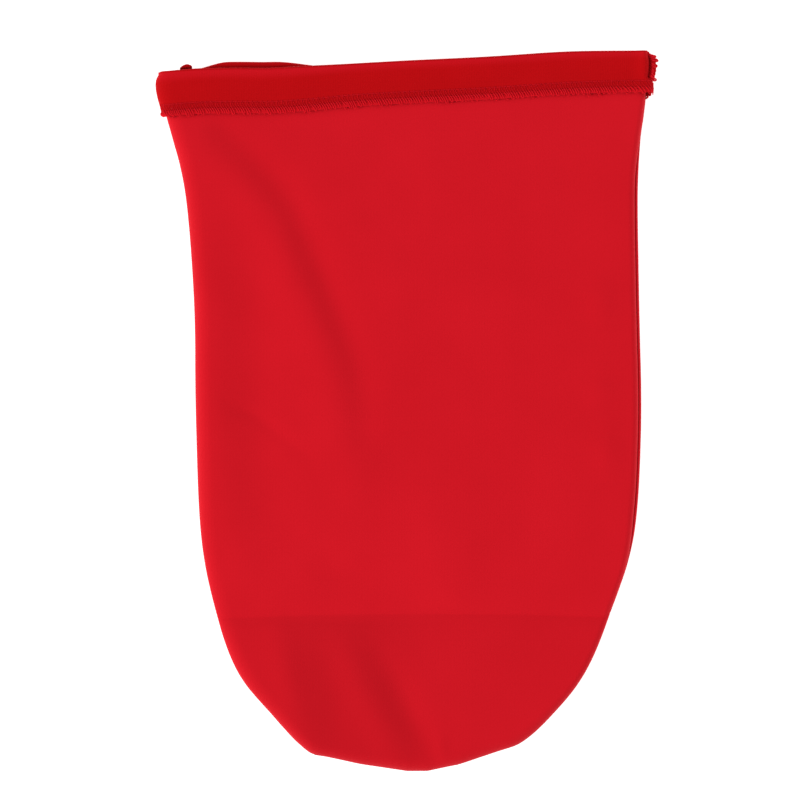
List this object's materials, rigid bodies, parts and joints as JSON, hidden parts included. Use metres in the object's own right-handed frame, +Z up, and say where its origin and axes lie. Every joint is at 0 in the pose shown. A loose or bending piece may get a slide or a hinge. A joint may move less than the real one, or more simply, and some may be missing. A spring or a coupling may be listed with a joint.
{
  "type": "throw rope bag",
  "caption": "Soft red knit rope bag lying flat and empty, with a rounded toe and an open mouth turned out into an overlocked cuff.",
  "frame": {"origin": "middle of the bag's footprint, on the surface that it lies on", "axes": "+X across the bag, +Y from the toe to the mouth along its length, +Z up out of the surface"},
  "size_m": [0.2104, 0.3014, 0.0108],
  "materials": {
    "knit_face": "matte",
    "knit_inside": "matte",
    "overlock_thread": "satin"
  },
  "bodies": {
    "bag_back": {"back_panel": "knit_face", "side_seam_allowances": "knit_inside", "side_seam_overlocks": "overlock_thread", "back_cuff_ends": "knit_inside", "back_cuff_end_overlocks": "overlock_thread", "right_cuff_seam": "knit_inside", "right_cuff_seam_overlock": "overlock_thread", "left_cuff_seam": "knit_inside", "left_cuff_seam_overlock": "overlock_thread"},
    "bag_front": {"front_panel": "knit_face", "front_cuff_ends": "knit_inside", "front_cuff_end_overlocks": "overlock_thread"},
    "toe": {"toe_back": "knit_face", "toe_front": "knit_face", "toe_seam_allowance": "knit_inside", "toe_seam_overlock": "overlock_thread"},
    "front_flap": {"front_cuff": "knit_inside", "front_cuff_overlock": "overlock_thread"},
    "back_flap": {"back_cuff": "knit_inside", "back_cuff_overlock": "overlock_thread"}
  },
  "joints": [
    {"name": "mouth_opening", "type": "hinge", "parent": "bag_back", "child": "bag_front", "pos_m": [0, -0.0848, 0.009], "axis": [1, 0, 0], "range_deg": [0, 12]},
    {"name": "toe_fold", "type": "hinge", "parent": "bag_back", "child": "toe", "pos_m": [0, -0.0848, 0.0092], "axis": [-1, 0, 0], "range_deg": [0, 165]},
    {"name": "front_flap_turn", "type": "hinge", "parent": "bag_front", "child": "front_flap", "pos_m": [0, 0.1466, 0.00935], "axis": [-0.9993, -0.0384, 0], "range_deg": [0, 178]},
    {"name": "back_flap_turn", "type": "hinge", "parent": "bag_back", "child": "back_flap", "pos_m": [0, 0.1466, 0.00245], "axis": [0.9993, 0.0384, 0], "range_deg": [0, 178]}
  ],
  "couplings": [
    {"joint": "back_flap_turn", "follows": "front_flap_turn", "ratio": 1}
  ]
}
